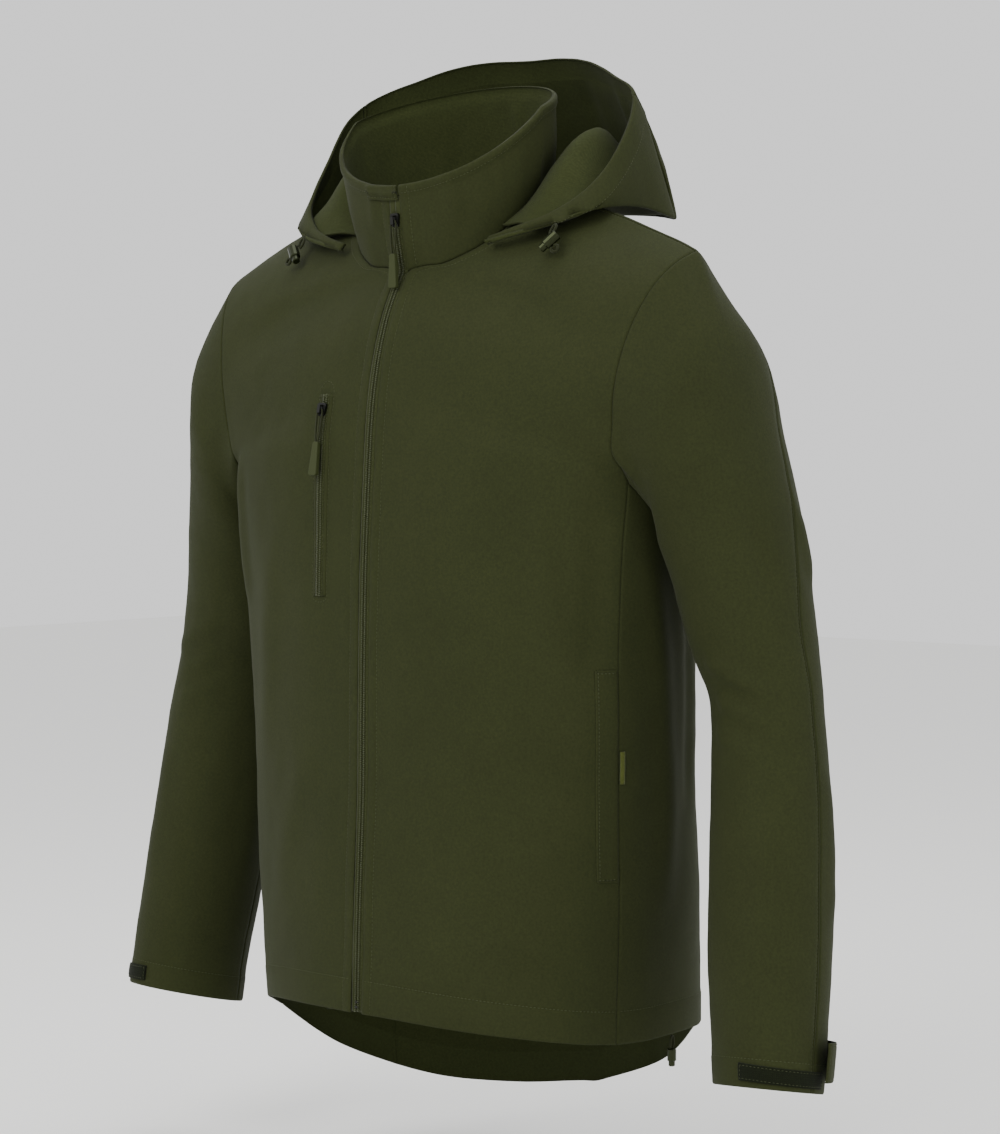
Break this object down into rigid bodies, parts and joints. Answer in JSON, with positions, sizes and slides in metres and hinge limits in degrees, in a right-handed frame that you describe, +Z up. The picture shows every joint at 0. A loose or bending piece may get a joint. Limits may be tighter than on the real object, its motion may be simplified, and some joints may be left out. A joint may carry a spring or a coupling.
{
  "type": "hooded softshell jacket",
  "caption": "Olive hooded softshell jacket with a stand-up collar, front zip, chest zip pocket, side pockets, adjustable cuffs and a lowered hood.",
  "frame": {"origin": "the middle of the neck opening at the height of the nape, where the jacket is held up", "axes": "+Z up, -Y to the wearer's front, +X to the wearer's left"},
  "size_m": [0.7608, 0.3154, 0.9061],
  "materials": {
    "softshell": "matt woven softshell",
    "zip_tape": "woven tape with coil teeth",
    "loop_patch": "soft loop pile",
    "cord": "braided cord",
    "puller": "moulded, matt",
    "hard_fitting": "dark satin",
    "cord_lock": "moulded, satin"
  },
  "bodies": {
    "jacket": {"hood_side_right": "softshell", "hood_centre": "softshell", "hood_side_left": "softshell", "hood_base": "softshell", "front_left": "softshell", "front_right": "softshell", "side_left": "softshell", "side_right": "softshell", "back": "softshell", "top_sleeve_left": "softshell", "under_sleeve_left": "softshell", "top_sleeve_right": "softshell", "under_sleeve_right": "softshell", "collar": "softshell", "front_zip_tape_left": "zip_tape", "front_zip_tape_right": "zip_tape", "zip_garage": "softshell", "chest_zip_tape": "zip_tape", "pocket_welt_left": "softshell", "pocket_welt_right": "softshell", "pocket_tab": "zip_tape", "cuff_loop_left": "loop_patch", "cuff_tab_left": "softshell", "cuff_loop_right": "loop_patch", "cuff_tab_right": "softshell", "front_zip_slider": "hard_fitting", "chest_zip_slider": "hard_fitting", "hood_cord_lock_left": "cord_lock", "hood_cord_left": "cord", "hood_cord_tail_left": "puller", "hem_cord_lock_left": "cord_lock", "hem_cord_left": "cord", "hood_cord_lock_right": "cord_lock", "hood_cord_right": "cord", "hood_cord_tail_right": "puller", "hem_cord_lock_right": "cord_lock", "hem_cord_right": "cord"},
    "front_pull": {"front_pull_cord": "cord", "front_pull": "puller"},
    "chest_pull": {"chest_pull_cord": "cord", "chest_pull": "puller"}
  },
  "joints": [
    {"name": "front_pull_swing", "type": "hinge", "parent": "jacket", "child": "front_pull", "pos_m": [0, -0.08402, -0.04649], "axis": [-1, 0, 0], "range_deg": [0, 120]},
    {"name": "chest_pull_swing", "type": "hinge", "parent": "jacket", "child": "chest_pull", "pos_m": [-0.055, -0.11264, -0.19937], "axis": [-1, 0, 0], "range_deg": [0, 120]}
  ]
}
